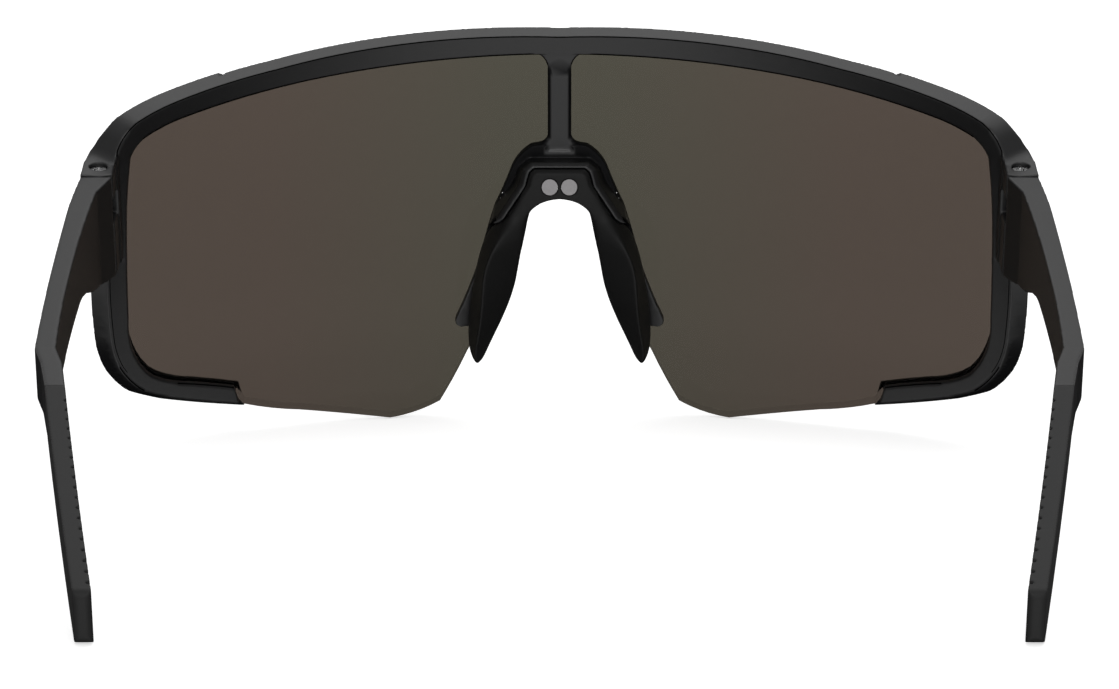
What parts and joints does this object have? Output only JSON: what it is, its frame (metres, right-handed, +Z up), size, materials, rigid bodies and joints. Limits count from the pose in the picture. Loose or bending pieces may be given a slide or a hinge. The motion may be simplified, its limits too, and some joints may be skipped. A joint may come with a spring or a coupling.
{
  "type": "wraparound sport sunglasses",
  "caption": "Wraparound shield sunglasses: one curved lens in a half-rim frame with a soft nose pad and folding temples.",
  "frame": {"origin": "on the surface the glasses stand on, below the middle of their bounding box", "axes": "+Z up; +Y from the lens towards the temple tips, as worn the rear; +X to the wearer's right temple side named right. The glasses rest on the lens's lower lobes and both temple tips, temples open."},
  "size_m": [0.1434, 0.1686, 0.0626],
  "materials": {
    "frame_plastic": "satin black injection-moulded nylon",
    "lens_tint": "dark smoke-brown tinted shield, glossy",
    "pad_rubber": "soft matt black elastomer",
    "inner_plastic": "hidden black plate",
    "magnet": "nickel-plated, satin",
    "screw_steel": "bright steel",
    "insert_metal": "hidden brass",
    "bush_plastic": "hidden low-friction plastic",
    "temple_plastic": "satin black injection-moulded nylon",
    "core_steel": "hidden spring steel strip",
    "sleeve_rubber": "matt black elastomer"
  },
  "bodies": {
    "front": {"front_frame": "frame_plastic", "lens": "lens_tint", "nose_pad": "pad_rubber", "nose_pad_carrier": "inner_plastic", "pad_magnet_left": "magnet", "frame_magnet_left": "magnet", "hinge_screw_left": "screw_steel", "hinge_insert_left": "insert_metal", "pad_magnet_right": "magnet", "frame_magnet_right": "magnet", "hinge_screw_right": "screw_steel", "hinge_insert_right": "insert_metal"},
    "temple_arm_left": {"temple_left": "temple_plastic", "temple_sleeve_left": "sleeve_rubber", "temple_core_left": "core_steel", "hinge_bush_left": "bush_plastic"},
    "temple_arm_right": {"temple_right": "temple_plastic", "temple_sleeve_right": "sleeve_rubber", "temple_core_right": "core_steel", "hinge_bush_right": "bush_plastic"}
  },
  "joints": [
    {"name": "fold_left", "type": "hinge", "parent": "front", "child": "temple_arm_left", "pos_m": [-0.06855, -0.04388, 0.03592], "axis": [0, -0.2636, -0.9646], "range_deg": [0, 86.5]},
    {"name": "fold_right", "type": "hinge", "parent": "front", "child": "temple_arm_right", "pos_m": [0.06855, -0.04388, 0.03592], "axis": [0, 0.2636, 0.9646], "range_deg": [0, 80]}
  ]
}
